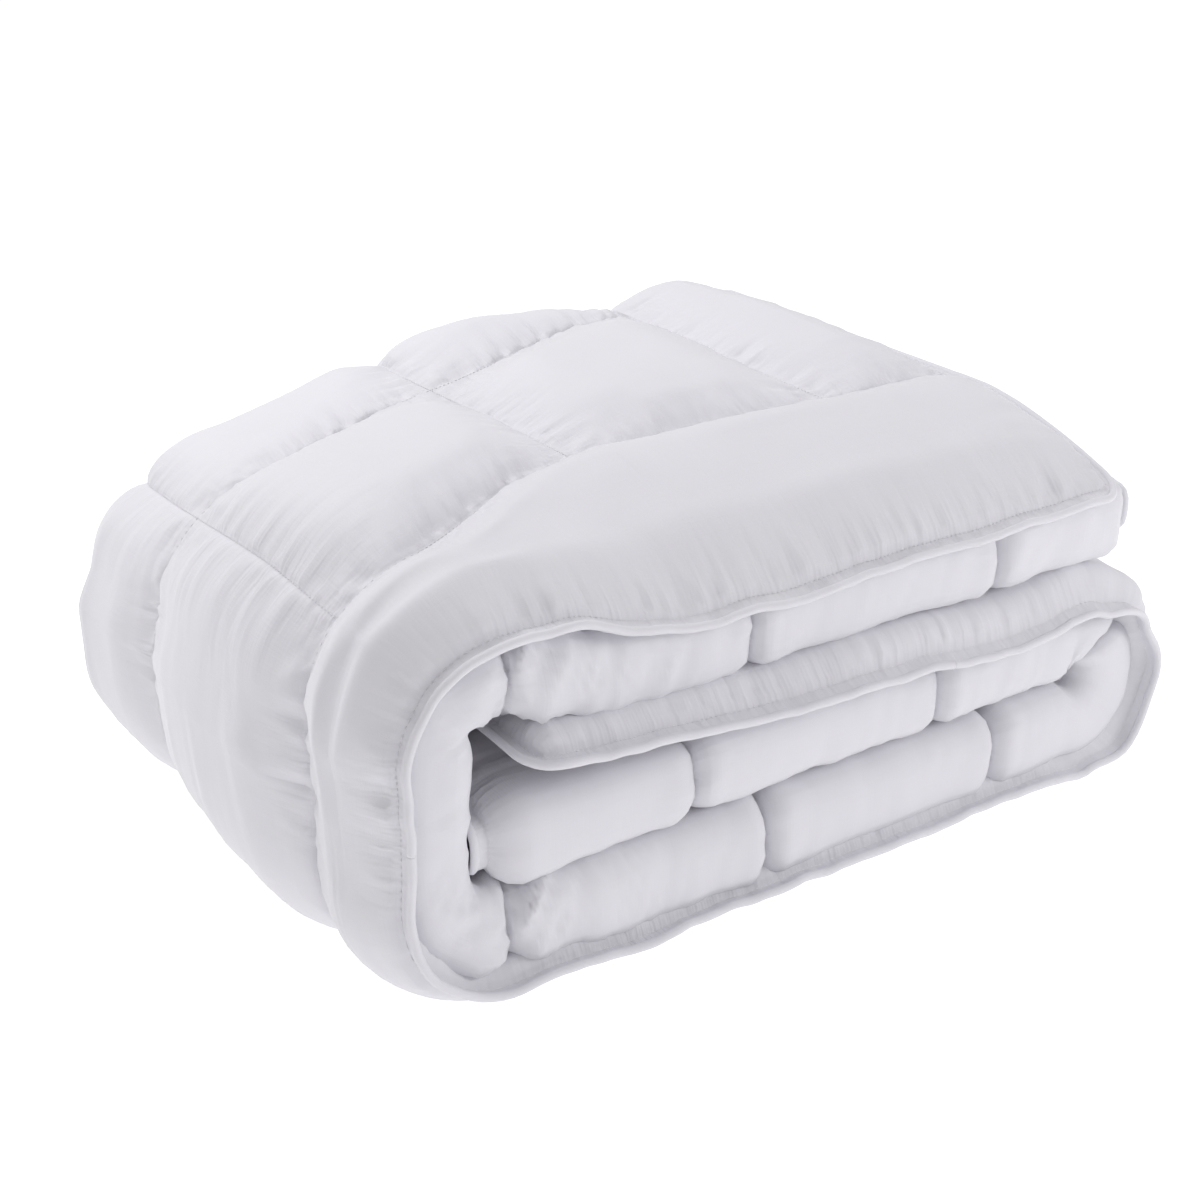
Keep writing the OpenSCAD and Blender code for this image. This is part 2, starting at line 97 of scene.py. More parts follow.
EDGE_Y = PIPING_RADIUS
FRONT_Y = PIPING_OVERHANG + PLY - LAYER_CLEARANCE
BACK_Y = BUNDLE_DEPTH - 1.5 * PLY + LAYER_CLEARANCE
BACK_1 = BACK_Y - EDGE_Y
INNER_1 = BACK_1 + math.pi * PLY
FRONT_1 = INNER_1 + BACK_Y - FRONT_Y
TUCKED_1 = FRONT_1 + math.pi * PLY / 2
FLAT_WIDTH = TUCKED_1 + TUCKED_LENGTH
BOX_WIDTH = (FLAT_WIDTH - 2 * SIDE_BORDER) / 4
LONG_SEAMS = [SIDE_BORDER + k * BOX_WIDTH for k in range(5)]
CENTRE = np.array([-BUNDLE_LENGTH / 2, -BUNDLE_DEPTH / 2, -LAYER_CLEARANCE])


def smooth(x, low, high):
    """0 below low, 1 above high, with a smooth rise between them."""
    t = np.clip((x - low) / (high - low), 0, 1)
    return t * t * (3 - 2 * t)


def eased(x, keys):
    """Smooth curve through (place, value) pairs."""
    places, values = np.array(keys).T
    i = np.clip(np.searchsorted(places, x) - 1, 0, len(places) - 2)
    t = np.clip((x - places[i]) / (places[i + 1] - places[i]), 0, 1)
    t = t * t * (3 - 2 * t)
    return values[i] * (1 - t) + values[i + 1] * t


NOISE_TABLE = np.random.RandomState(7).uniform(-1, 1, (4, 256, 256))


def noise(x, y, seed):
    """Smooth noise between -1 and 1 over the plane."""
    x, y = np.broadcast_arrays(x, y)
    xi, yi = np.floor(x).astype(int), np.floor(y).astype(int)
    fx, fy = x - xi, y - yi
    fx, fy = fx * fx * (3 - 2 * fx), fy * fy * (3 - 2 * fy)
    t = NOISE_TABLE[seed % 4]
    k = seed * 37

    def at(i, j):
        return t[(xi + i + k) % 256, (yi + j + k) % 256]

    return (at(0, 0) * (1 - fx) + at(1, 0) * fx) * (1 - fy) + (at(0, 1) * (1 - fx) + at(1, 1) * fx) * fy


def spine(s):
    """Place and outward direction on the middle ply, at a length along the strip."""
    x, z = np.zeros_like(s), np.zeros_like(s)
    nx, nz = np.zeros_like(s), np.zeros_like(s)

    def run(mask, px, pz, ox, oz):
        x[mask], z[mask], nx[mask], nz[mask] = px, pz, ox, oz

    def arc(mask, start, start_angle, cx, cz, radius):
        a = start_angle + (s[mask] - start) / radius
        run(mask, cx + radius * np.cos(a), cz + radius * np.sin(a), np.cos(a), np.sin(a))

    m = s <= CORNER_1
    run(m, TOP_LEVEL_LENGTH - s[m], 7.5 * PLY, 0, 1)
    arc((s > CORNER_1) & (s <= WALL_1), CORNER_1, math.pi / 2, LEFT_X, HIGH_Z, CORNER_RADIUS)
    m = (s > WALL_1) & (s <= CORNER_2)
    run(m, 1.5 * PLY, HIGH_Z - (s[m] - WALL_1), -1, 0)
    arc((s > CORNER_2) & (s <= BOTTOM_1), CORNER_2, math.pi, LEFT_X, LOW_Z, CORNER_RADIUS)
    m = (s > BOTTOM_1) & (s <= TURN_1)
    run(m, LEFT_X + s[m] - BOTTOM_1, 1.5 * PLY, 0, -1)
    arc((s > TURN_1) & (s <= MIDDLE_1), TURN_1, -math.pi / 2, RIGHT_X, TURN_Z, TURN_RADIUS)
    m = s > MIDDLE_1
    run(m, RIGHT_X - (s[m] - MIDDLE_1), 4.5 * PLY, 0, 1)
    return x, z, nx, nz


def across(v):
    """Depth, outward offset and their normal for a length across the duvet."""
    y, n = np.zeros_like(v), np.zeros_like(v)
    ny, nn = np.zeros_like(v), np.zeros_like(v)
    m = v <= BACK_1
    y[m], n[m], nn[m] = EDGE_Y + v[m], PLY, 1
    m = (v > BACK_1) & (v <= INNER_1)
    a = (v[m] - BACK_1) / PLY
    y[m], n[m], ny[m], nn[m] = BACK_Y + PLY * np.sin(a), PLY * np.cos(a), np.sin(a), np.cos(a)
    m = (v > INNER_1) & (v <= FRONT_1)
    y[m], n[m], nn[m] = BACK_Y - (v[m] - INNER_1), -PLY, -1
    m = (v > FRONT_1) & (v <= TUCKED_1)
    a = (v[m] - FRONT_1) / (PLY / 2)
    y[m] = FRONT_Y - PLY / 2 * np.sin(a)
    n[m] = -PLY / 2 - PLY / 2 * np.cos(a)
    ny[m], nn[m] = -np.sin(a), -np.cos(a)
    m = v > TUCKED_1
    y[m], nn[m] = FRONT_Y + v[m] - TUCKED_1, 1
    return y, n, ny, nn


TURN_DEGREE = math.pi / 180 * TURN_RADIUS
# How far the piped edge of the outer ply leaves its level, outwards, along the strip
EDGE_KEYS = [
    (0, -0.046), (CORNER_1 - 0.15, -0.050), (CORNER_1 - 0.04, -0.022), (FOLD_TOP, -0.020), (CORNER_2, -0.018),
    (FOLD_BOTTOM, -0.015), (BOTTOM_1, -0.007), (BOTTOM_1 + 0.12, -0.004), (BOTTOM_1 + 0.25, -0.003),
    (TURN_1, 0.0),
    (TURN_1 + 20 * TURN_DEGREE, 0.008), (TURN_1 + 42 * TURN_DEGREE, 0.026), (TURN_1 + 75 * TURN_DEGREE, 0.015),
    (TURN_1 + 110 * TURN_DEGREE, -0.004), (MIDDLE_1 - 0.02, -0.030), (MIDDLE_1 + 0.05, -0.036),
    (MIDDLE_1 + 0.25, -0.022), (STRIP_END, -0.002),
]
# How far it stands forward of its place
JUT_KEYS = [
    (0, 0.0), (CORNER_2, 0.0), (BOTTOM_1 + 0.02, 0.0), (BOTTOM_1 + 0.2, 0.003), (TURN_1, 0.004),
    (TURN_1 + 90 * TURN_DEGREE, 0.004), (MIDDLE_1, 0.010), (MIDDLE_1 + 0.1, 0.014), (STRIP_END, 0.013),
]
# Outward offset of the plump front fold, and how far it is shifted to the right
FRONT_KEYS = [
    (0, -0.018), (CORNER_1 - 0.05, -0.018), (FOLD_TOP, -0.002), (WALL_MIDDLE, 0.006), (FOLD_BOTTOM, 0.006),
    (BOTTOM_1 + 0.05, 0.012), (TURN_1, 0.014), (TURN_1 + 45 * TURN_DEGREE, 0.030),
    (TURN_1 + 80 * TURN_DEGREE, 0.026),
    (TURN_1 + 120 * TURN_DEGREE, 0.008), (MIDDLE_1, -0.014), (STRIP_END, -0.016),
]
# Half thickness of its pads
PLUMP_KEYS = [
    (0, 0.0170), (CORNER_1, 0.0165), (WALL_1, 0.0120), (CORNER_2, 0.0120), (BOTTOM_1, 0.0205), (TURN_1, 0.0205),
    (TURN_1 + 90 * TURN_DEGREE, 0.0175), (MIDDLE_1, 0.0165), (STRIP_END, 0.0165),
]
SHIFT_KEYS = [
    (0, 0.030), (SEAM_C, 0.014), (SEAM_B, 0.026), (CORNER_1, 0.010), (WALL_1, -0.004), (CORNER_2, -0.004),
    (BOTTOM_1, 0.008), (TURN_1 - 0.05, 0.012), (TURN_1 + 90 * TURN_DEGREE, 0.0), (MIDDLE_1, 0.006),
    (SEAM_H, 0.015), (SEAM_I, 0.012), (STRIP_END - 0.06, 0.000), (STRIP_END, -0.030),
]
# How far the cross seams of the front fold lie further along the strip
SLIP_KEYS = [
    (0, 0.0), (SEAM_B, 0.0), (FOLD_TOP, -0.050), (WALL_MIDDLE, 0.0), (FOLD_BOTTOM, 0.046), (SEAM_E, 0.0),
    (STRIP_END, 0.0),
]
# The outer ply's cross seam at the lower corner lies under the bundle
UNDER_KEYS = [(0, 0.0), (WALL_MIDDLE, 0.0), (FOLD_BOTTOM, 0.060), (BOTTOM_1 + 0.21, 0.0), (STRIP_END, 0.0)]
# The quilting of the outer ply runs askew: how far two lengthwise seams lie towards the front of the bundle
SEAM_1_KEYS = [
    (0, 0.0), (SEAM_B, 0.0), (FOLD_TOP, 0.094), (WALL_MIDDLE, 0.100), (FOLD_BOTTOM, 0.110), (SEAM_E, 0.0),
    (STRIP_END, 0.0),
]
SEAM_2_KEYS = [
    (0, -0.030), (SEAM_C, -0.030), (SEAM_B, 0.042), (FOLD_TOP, 0.104), (WALL_MIDDLE, 0.104),
    (FOLD_BOTTOM, 0.112), (SEAM_E, 0.0), (STRIP_END, 0.0),
]
# Outward bow of the left wall and squarer lower left corner of the outer ply
BOW_KEYS = [
    (0, 0.0), (CORNER_1, 0.0), (WALL_1, 0.004), (WALL_MIDDLE, 0.012), (CORNER_2, 0.014),
    (FOLD_BOTTOM, 0.017), (BOTTOM_1, 0.0), (STRIP_END, 0.0),
]


def skewed(s, v):
    """Length across the duvet at which a point would lie if the quilting ran straight."""
    one, two = eased(s, SEAM_1_KEYS), eased(s, SEAM_2_KEYS)
    shift = one * smooth(v, 0.0, LONG_SEAMS[0] * 1.05) + (two - one) * smooth(v, LONG_SEAMS[0], LONG_SEAMS[1])
    return v - shift * (1 - smooth(v, LONG_SEAMS[1], LONG_SEAMS[3]))


CORNER_ROUND = 0.026


def rounded(s, v):
    """Rounds the four corners of the flat duvet."""
    low_s, low_v = s < STRIP_END / 2, v < FLAT_WIDTH / 2
    ds, dv = np.where(low_s, s, STRIP_END - s), np.where(low_v, v, FLAT_WIDTH - v)
    a, b = np.clip(1 - ds / CORNER_ROUND, 0, 1), np.clip(1 - dv / CORNER_ROUND, 0, 1)
    both = (a > 0) & (b > 0)
    ds = np.where(both, CORNER_ROUND * (1 - a * np.sqrt(1 - b * b / 2)), ds)
    dv = np.where(both, CORNER_ROUND * (1 - b * np.sqrt(1 - a * a / 2)), dv)
    return np.where(low_s, ds, STRIP_END - ds), np.where(low_v, dv, FLAT_WIDTH - dv)


BACK_SAG = 0.052
BACK_INSET = 0.020
SAG_HEIGHT = 0.30


def settle(p):
    """The back left of the top sinks a little and moves in, with every layer under it."""
    x, y, z = p[..., 0], p[..., 1], p[..., 2]
    drop = BACK_SAG * (1 - smooth(x, -0.34, 0.02)) * smooth(y, -0.10, 0.27)
    share = np.clip((z + 0.0008) / SAG_HEIGHT, 0, 1.2) ** 1.6
    inset = BACK_INSET * smooth(y, -0.05, 0.25) * smooth(z, 0.15, 0.29) * (1 - smooth(x, -0.36, -0.12))
    return np.stack([x + inset, y, z - drop * share], -1)


# Reach of the piped edge's own offsets into the cloth: short underneath, long on the top and the upper wall
EDGE_REACH = 0.045
TOP_EDGE_REACH = 0.17
TOP_EDGE_POWER = 1.6
JUT_REACH = 0.06
# The free end is drawn back a little from the wall
END_PULL = 0.008
END_PULL_LENGTH = 0.12
# The front fold is squarer than a half circle
SQUARE_POWER = 3.2
# Wobble of the loose piped edge: distance over which it dies out, then seed, wavelength and size of each wave
LOOSE_REACH = 0.022
FORWARD_WOBBLE = [(11, 0.045, 0.0022), (12, 0.016, 0.0008)]
UPWARD_WOBBLE = [(13, 0.037, 0.0020), (14, 0.015, 0.0008)]


def wobble(s, waves):
    """Sum of a few waves along the strip, in metres."""
    return sum(size * noise(s / wavelength, s * 0, seed) for seed, wavelength, size in waves)


def place(s, v, d):
    """Point of the folded duvet, for a length along it, a length across it and a height over its middle."""
    s, v, d = np.broadcast_arrays(s, v, d)
    s, v, d = (np.array(a, float) for a in (s, v, d))
    s, v = rounded(s, v)
    near_fold = smooth(v, LONG_SEAMS[3] - 0.05, FRONT_1) * (1 - smooth(v, TUCKED_1, LONG_SEAMS[4] + 0.05))
    pulled = s - END_PULL * smooth(s, STRIP_END - END_PULL_LENGTH, STRIP_END)
    under = pulled + eased(s, UNDER_KEYS) * (1 - smooth(v, BACK_1, INNER_1))
    x, z, nx, nz = spine(under + eased(s, SLIP_KEYS) * near_fold)
    u = skewed(s, v)
    y, n, ny, nn = across(u)
    outer = u < BACK_1
    from_edge = np.maximum(y - EDGE_Y, 0)
    short = np.exp(-from_edge / EDGE_REACH)
    long = np.clip(1 - from_edge / TOP_EDGE_REACH, 0, 1) ** TOP_EDGE_POWER
    on_top = 1 - smooth(s, WALL_MIDDLE, BOTTOM_1)
    edge = short + (long - short) * on_top
    front = 1 - smooth(y, 0.05, 0.22)
    n = n + np.where(outer, eased(under, EDGE_KEYS) * edge + eased(under, BOW_KEYS) * smooth(y, 0.07, 0.22),
                     eased(s, FRONT_KEYS) * front)
    fold = (u > FRONT_1) & (u < TUCKED_1)
    corner = (np.abs(ny) ** SQUARE_POWER + np.abs(nn) ** SQUARE_POWER + 1e-9) ** (-1 / SQUARE_POWER)
    square = np.where(fold, corner, 1.0)
    reach = np.where(fold, (PLY / 2 + d) * square - PLY / 2, d)
    n = n + reach * nn
    y = y + reach * ny
    y = y - np.where(outer, eased(under, JUT_KEYS) * np.exp(-np.maximum(y - EDGE_Y, 0) / JUT_REACH), 0)
    loose = np.exp(-v / LOOSE_REACH) * outer
    y = y - loose * wobble(under, FORWARD_WOBBLE)
    n = n + loose * wobble(under, UPWARD_WOBBLE)
    x = x + np.where(outer, 0, eased(s, SHIFT_KEYS) * front)
    return settle(np.stack([x + n * nx, y, z + n * nz], -1) + CENTRE)


# Stands for a seam that isn't there
NO_SEAM = 1.0


def seam_distance(x, seams):
    return np.min(np.abs(x[..., None] - np.array(seams)), -1)


def shoulder(x, reach):
    """Rise of a pad from its seam: steep at first, flat past the reach."""
    t = np.clip(x / reach, 0, 1)
    return np.sin(t * math.pi / 2) ** 0.72


def ridged(x, y, seed):
    """Two octaves of noise with round ridges and sharp valleys, for puckers."""
    return 1.6 * np.abs(noise(x, y, seed)) + 0.8 * np.abs(noise(2.2 * x, 1.7 * y, seed + 1)) - 0.9


FREE_KEYS = [
    (0, 0.0285), (CORNER_1, 0.0285), (WALL_1, 0.019), (CORNER_2, 0.018), (BOTTOM_1, 0.0160),
    (TURN_1 - 0.05, 0.0160),
    (TURN_1 + 60 * TURN_DEGREE, 0.019), (MIDDLE_1, 0.019), (MIDDLE_1 + 0.08, 0.0165), (STRIP_END, 0.0165),
]
PRESSED = 0.0165
# Half thickness of the two cloths where they are sewn together
SEWN_HALF = 0.0012
# Distance over which a pad swells from its seam, for a pressed ply, a free one and the front fold's cross seams
PRESSED_REACH = 0.040
FREE_REACH = 0.048
NOTCH_REACH = 0.020
# The same beside the topstitching, and on the inside at the ends
EDGE_SWELL = 0.018
FREE_EDGE_SWELL = 0.040
END_SWELL = 0.007
# Quick rise of the cloth beside the topstitching, and where it has gone again
LIP = 0.0035
LIP_START = 0.003
LIP_REACH = 0.03


def sewn_distances(s, v):
    """Distances inwards from the topstitching of the ends and edges, and to the nearest seam of either kind."""
    border = (v < LONG_SEAMS[0]) | (v > LONG_SEAMS[4])
    end = (s < SEAM_C) | (s > SEAM_I)
    ends = np.minimum(s - TOPSTITCH_INSET, STRIP_END - TOPSTITCH_INSET - s)
    edges = np.minimum(v - TOPSTITCH_INSET, FLAT_WIDTH - TOPSTITCH_INSET - v)
    cross = np.where(border, NO_SEAM, seam_distance(s, CROSS_SEAMS))
    length = np.where(end, seam_distance(v, [LONG_SEAMS[0], LONG_SEAMS[4]]), seam_distance(v, LONG_SEAMS))
    return ends, edges, cross, length


def outside(v, side):
    """1 on the outer face of the outer ply, 0 inside the folds."""
    return (side > 0) * (1 - smooth(v, BACK_1, BACK_1 + 0.08))


def front_fold(v):
    """1 on the front fold, 0 past the seams on both sides of it."""
    return smooth(v, LONG_SEAMS[3], FRONT_1) * (1 - smooth(v, TUCKED_1, LONG_SEAMS[4]))


def heights(s, v, side):
    """Height of one side of the duvet over its middle, without puckers."""
    ends, edges, cross, length = sewn_distances(s, v)
    free = outside(v, side)
    plump = smooth(v, LONG_SEAMS[3] + 0.03, FRONT_1) * (1 - smooth(v, TUCKED_1, TUCKED_1 + 0.08)) * (side > 0)
    crown = eased(s, FREE_KEYS) * (1 - 0.30 * smooth(v, 0.36, BACK_1) * (1 - smooth(s, SEAM_B, CORNER_1)))
    top = PRESSED + (crown - PRESSED) * free + (eased(s, PLUMP_KEYS) - PRESSED) * plump
    upper = 1 - smooth(s, CORNER_2, BOTTOM_1)
    reach = PRESSED_REACH + FREE_REACH * free * upper - 0.006 * free
    edge_reach = EDGE_SWELL + FREE_EDGE_SWELL * free * upper
    front = front_fold(v)
    h = top * shoulder(cross, reach * (1 - front) + NOTCH_REACH * front) ** (1 - 0.4 * front)
    h = h * shoulder(length, reach) * shoulder(np.maximum(ends, 0), edge_reach if side > 0 else END_SWELL)
    h = h * shoulder(np.maximum(edges, 0), edge_reach)
    lip = LIP * (1 - np.exp(-np.maximum(edges, 0) / LIP_START)) * np.exp(-np.maximum(edges, 0) / LIP_REACH)
    return SEWN_HALF + h + lip * (side > 0) * smooth(ends, 0.0, 0.01)


GATHER_START = 0.004
GATHER_LENGTH = 0.07
FAN_SIZE = 0.0034
FAN_REACH = 0.028
DRAG_SIZE = 0.0009
CRUMPLE_SIZE = 0.0075
RIPPLE_SIZE = 0.0014
FLANGE_SIZE = 0.0010


def gathers(d, along, other, seed, pitch, reach, size):
    """Small folds that run off a sewn line, square to it, and die out within a reach."""
    d = np.maximum(d, 0)
    rise = (1 - np.exp(-d / GATHER_START)) * np.exp(-d / reach)
    return size * ridged(along / pitch, other / GATHER_LENGTH, seed) * rise


def fan(s, v, seed):
    """Folds that fan out from where two seams cross."""
    from_s = s - np.array(CROSS_SEAMS)[np.argmin(np.abs(s[..., None] - np.array(CROSS_SEAMS)), -1)]
    from_v = v - np.array(LONG_SEAMS)[np.argmin(np.abs(v[..., None] - np.array(LONG_SEAMS)), -1)]
    far = np.hypot(from_s, from_v)
    rays = ridged(np.arctan2(from_s, from_v) * 2.6, s * 3 + v * 5, seed)
    return FAN_SIZE * rays * (1 - np.exp(-far / 0.010)) * np.exp(-far / FAN_REACH)


def puckers(s, v, side):
    """Height of the small folds that run off the sewn lines, and of the soft waves between them."""
    ends, edges, cross, length = sewn_distances(s, v)
    free = outside(v, side)
    k = 3 if side > 0 else 1
    wave = gathers(edges, s, v, k, 0.024, 0.015, 0.0040) + gathers(ends, v, s, k + 1, 0.020, 0.030, 0.0040)
    wave = wave + gathers(edges, s, v, k + 2, 0.0085, 0.011, 0.0044)
    wave = wave + gathers(ends, v, s, k, 0.0085, 0.011, 0.0040)
    wave = wave + (edges > 0.05) * gathers(length, s, v, k + 2, 0.013, 0.018, 0.0052)
    wave = wave + (ends > 0.03) * gathers(cross, v, s, k + 3, 0.013, 0.018, 0.0046) * (cross < 0.5)
    wave = wave + fan(s, v, k + 4)
    broad = 0.0024 * noise(s / 0.09, v / 0.11, k + 5) + 0.0011 * noise(s / 0.04, v / 0.05, k + 6)
    # Creases down the wall, crumples in the inner corners and faint ripples on the front fold
    wall = smooth(s, FOLD_TOP - 0.03, WALL_1) * (1 - smooth(s, CORNER_2, FOLD_BOTTOM)) * free
    drag = DRAG_SIZE * ridged((v + 0.24 * s) / 0.034, (s - v) / 0.22, k + 7) * wall * smooth(length, 0.0, 0.03)
    fold = front_fold(v) * (side > 0)
    corner = np.exp(-np.abs(s - FOLD_TOP) / 0.05) + np.exp(-np.abs(s - FOLD_BOTTOM) / 0.05)
    crumple = CRUMPLE_SIZE * ridged((v + 0.7 * s) / 0.022, (s - v) / 0.055, k + 8) * (0.10 + corner) * fold
    crumple = crumple + RIPPLE_SIZE * ridged((s + 0.25 * v) / 0.041, v / 0.10, k + 9) * fold
    lying = smooth(s, CORNER_2, FOLD_BOTTOM) * (1 - smooth(s, TURN_1, TURN_1 + 0.06)) * free
    inside = smooth(ends, 0.0, 0.004) * smooth(edges, 0.0, 0.004)
    settled = smooth(np.minimum(cross, length), 0.0, 0.006) * inside
    flange = FLANGE_SIZE * ridged(s / 0.010, v / 0.05, k + 7)
    flange = flange * smooth(-edges, 0.0, 0.002) * smooth(v, 0.002, 0.005)
    folds = (wave + broad * (0.4 + 0.6 * free) + drag + crumple) * settled + np.maximum(flange, -0.0005)
    return folds * (1 - 0.8 * lying)


def rings(marks, low, high, steps, fine):
    """Rings between marks: a step that depends on the place, and finer rings beside each mark."""
    out = [low]
    edges = [low] + sorted(m for m in marks if low < m < high) + [high]
    for a, b in zip(edges[:-1], edges[1:]):
        inner = [a + f for f in fine if a + f < (a + b) / 2] + [b - f for f in fine if b - f > (a + b) / 2]
        lo, hi = (a + fine[-1], b - fine[-1]) if b - a > 3 * fine[-1] else ((a + b) / 2,) * 2
        x = lo
        while x < hi:
            step = next(st for end, st in steps if x < end)
            x += step
            if x < hi - 0.4 * step:
                inner.append(x)
        out += sorted(inner) + [b]
    return np.array(out)


S_MARKS = [TOPSTITCH_INSET] + CROSS_SEAMS + [WALL_MIDDLE, STRIP_END - TOPSTITCH_INSET]
V_MARKS = [TOPSTITCH_INSET] + LONG_SEAMS + [FLAT_WIDTH - TOPSTITCH_INSET]
FINE = [0.0015, 0.004, 0.008]
RIM = PIPING_RADIUS * 0.5
# Steps between rings, each used up to its distance
EVERYWHERE = 9
S_STEPS = [(BOTTOM_1, 0.0035), (EVERYWHERE, 0.0045)]
V_STEPS = [(0.62, 0.0050), (1.05, 0.0095), (1.20, 0.0050), (EVERYWHERE, 0.0095)]
S_RINGS = rings(S_MARKS, RIM, STRIP_END - RIM, S_STEPS, FINE)
V_RINGS = rings(V_MARKS, RIM, FLAT_WIDTH - RIM, V_STEPS, FINE)

# ------------------------------------------------------------------------------------ quilted shells
SV = np.meshgrid(S_RINGS, V_RINGS, indexing="ij")
end_d, edge_d, cross_d, length_d = sewn_distances(SV[0], SV[1])
seam_d = np.minimum(np.minimum(np.abs(end_d), np.abs(edge_d)), np.minimum(cross_d, length_d))
FACE = place(SV[0], SV[1], heights(SV[0], SV[1], 1))
BACK = place(SV[0], SV[1], -heights(SV[0], SV[1], -1) - puckers(SV[0], SV[1], -1))


def grid_normals(points):
    """Normal at every point of a grid, towards the side that the rows and columns turn to."""
    ds = np.gradient(points, axis=0)
    dv = np.gradient(points, axis=1)
    n = np.cross(dv, ds)
    return n / np.maximum(np.linalg.norm(n, axis=-1, keepdims=True), 1e-9)


# ------------------------------------------------------------------------------------ cloth simulation
SIM_CAP = 0.0035
SIM_SMOOTHING = 16
SIM_FRAMES = 16
# How far sewn points may move, and how much more for each metre away from a seam
SEWN_PLAY = 0.0004
PLAY_GROWTH = 0.35


def simulate(name, rows, cols, sewn):
    """Lets a patch of the face cloth billow between its sewn lines, and returns its new points."""
    points = FACE[rows][:, cols]
    n_rows, n_cols = points.shape[:2]
    i = np.arange(n_rows - 1)[:, None] * n_cols + np.arange(n_cols - 1)[None, :]
    i = i.ravel()
    faces = np.stack([i, i + n_cols, i + n_cols + 1, i + 1], 1)
    mesh = bpy.data.meshes.new(name)
    mesh.from_pydata(points.reshape(-1, 3).tolist(), [], faces.tolist())
    patch = bpy.data.objects.new(name, mesh)
    bpy.context.collection.objects.link(patch)
    group = patch.vertex_groups.new(name="sewn")
    held = np.zeros((n_rows, n_cols), bool)
    held[0], held[-1], held[:, 0], held[:, -1] = True, True, True, True
    held |= sewn[rows][:, cols]
    group.add(np.flatnonzero(held.ravel()).tolist(), 1.0, "REPLACE")
    cloth = patch.modifiers.new("cloth", "CLOTH")
    use = cloth.settings
    use.vertex_group_mass = "sewn"
    use.quality = 5
    use.mass = 0.12
    use.air_damping = 4
    use.tension_stiffness, use.compression_stiffness, use.shear_stiffness = 12, 6, 4
    use.bending_stiffness = 0.05
    use.shrink_min = -0.012
    use.use_pressure = True
    use.uniform_pressure_force = 2.5
    use.effector_weights.gravity = 0
    cloth.collision_settings.use_collision = False
    cloth.point_cache.frame_end = SIM_FRAMES
    scene = bpy.context.scene
    for frame_number in range(1, SIM_FRAMES + 1):
        scene.frame_set(frame_number)
    dg = bpy.context.evaluated_depsgraph_get()
    moved = patch.evaluated_get(dg).to_mesh()
    new = np.empty(len(moved.vertices) * 3)
    moved.vertices.foreach_get("co", new)
    new = new.reshape(n_rows, n_cols, 3)
    patch.evaluated_get(dg).to_mesh_clear()
    bpy.data.objects.remove(patch)
    scene.frame_set(1)
    step = new - points
    for _ in range(SIM_SMOOTHING):
        near = np.pad(step, ((1, 1), (1, 1), (0, 0)), mode="edge")
        around = near[:-2, 1:-1] + near[2:, 1:-1] + near[1:-1, :-2] + near[1:-1, 2:]
        step = step / 2 + around / 8
    size = np.linalg.norm(step, axis=-1, keepdims=True)
    room = np.minimum(SIM_CAP, SEWN_PLAY + PLAY_GROWTH * seam_d[rows][:, cols])[..., None]
    return points + step * room / np.hypot(room, size)


near_seam = seam_d < 0.0008
band = TOPSTITCH_INSET + 1e-6
edge_band = (SV[1] < band) | (SV[0] < band) | (SV[0] > STRIP_END - band)
sewn = near_seam | edge_band
patches = {
    "outer_patch": (0.0, BOTTOM_1 + 0.03, 0.0, BACK_1 + 0.10),
    "front_patch": (0.0, STRIP_END, LONG_SEAMS[3], LONG_SEAMS[4]),
    "turn_patch": (TURN_1 - 0.06, STRIP_END, 0.0, 0.26),
}
for name, (s0, s1, v0, v1) in patches.items():
    rows = np.flatnonzero((S_RINGS >= s0) & (S_RINGS <= s1))
    cols = np.flatnonzero((V_RINGS >= v0 - 1e-6) & (V_RINGS <= v1 + 1e-6))
    FACE[np.ix_(rows, cols)] = simulate(name, rows, cols, sewn)

# The small folds stand on the cloth as it has billowed, and nothing goes below the surface it lies on
GROUND = 0.0004
CLOTH_GAP = 0.0008
FACE = FACE - grid_normals(FACE) * puckers(SV[0], SV[1], 1)[..., None]
FACE[..., 2] = np.maximum(FACE[..., 2], GROUND)
BACK[..., 2] = np.maximum(BACK[..., 2], GROUND + CLOTH_GAP)
FACE_N = -grid_normals(FACE)
BACK_N = grid_normals(BACK)


# Reach of the finest puckers, which are in the material
RIPPLE_REACH = 0.022


